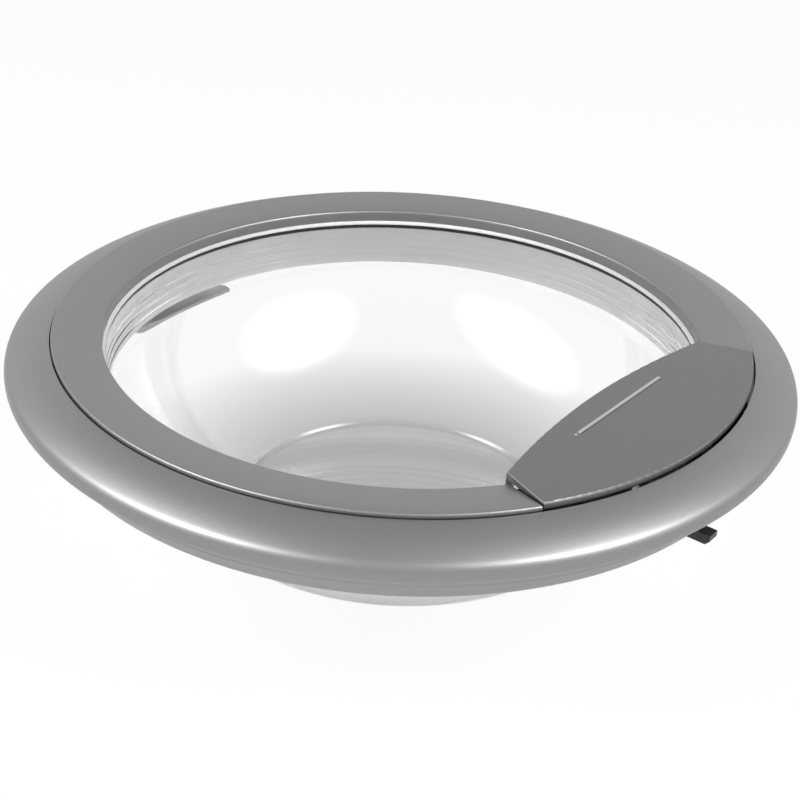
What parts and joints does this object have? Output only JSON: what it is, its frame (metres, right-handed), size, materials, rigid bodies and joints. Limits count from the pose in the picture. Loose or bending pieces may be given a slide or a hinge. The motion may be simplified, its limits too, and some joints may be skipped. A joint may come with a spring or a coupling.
{
  "type": "washing machine door",
  "caption": "Round porthole door of a front-loading washing machine: silver rim and trim ring, clear glass bowl, leaf-shaped pull handle, latch hook and cabinet hinge.",
  "frame": {"origin": "centre of the flat foot of the glass bowl, on the surface that the door lies on", "axes": "+Z out of the door's front face, +X towards the handle and latch, hinge on the -X side along Y"},
  "size_m": [0.39, 0.39, 0.1116],
  "materials": {
    "silver_paint": "satin silver paint on moulded plastic",
    "frame_plastic": "light grey moulded plastic",
    "bowl_glass": "clear pressed glass",
    "hook_plastic": "black moulded plastic",
    "steel": "bright zinc plated",
    "hinge_steel": "zinc plated sheet steel",
    "bush_plastic": "natural bearing plastic"
  },
  "bodies": {
    "door": {"trim_ring": "silver_paint", "outer_rim": "silver_paint", "rear_frame": "frame_plastic", "glass_bowl": "bowl_glass", "handle_pin": "steel", "handle_spring": "steel", "hook_pin": "steel", "hook_spring": "steel", "hook_guide": "hook_plastic", "guide_screws": "steel", "frame_screws": "steel", "hinge_door_leaf": "hinge_steel", "hinge_pin": "steel", "hinge_screws": "steel", "hinge_backing_plate": "hinge_steel"},
    "handle": {"handle_leaf": "silver_paint"},
    "hook": {"latch_hook": "hook_plastic"},
    "cabinet_bracket": {"hinge_cabinet_leaf": "hinge_steel", "hinge_bush_upper": "bush_plastic", "hinge_bush_lower": "bush_plastic"}
  },
  "joints": [
    {"name": "handle_pull", "type": "hinge", "parent": "door", "child": "handle", "pos_m": [0.161, 0, 0.104], "axis": [0, 1, 0], "range_deg": [0, 12], "stiffness_Nm_per_rad": 0.5, "springref_deg": -11.46, "deforming": ["handle_spring"]},
    {"name": "hook_swing", "type": "hinge", "parent": "door", "child": "hook", "pos_m": [0.16, 0, 0.0835], "axis": [0, 1, 0], "range_deg": [0, 15], "stiffness_Nm_per_rad": 0.05, "springref_deg": -11.46, "deforming": ["hook_spring"]},
    {"name": "door_hinge", "type": "hinge", "parent": "door", "child": "cabinet_bracket", "pos_m": [-0.188, 0, 0.0785], "axis": [0, 1, 0], "range_deg": [0, 120]}
  ],
  "couplings": [
    {"joint": "hook_swing", "follows": "handle_pull", "ratio": 1.2}
  ]
}
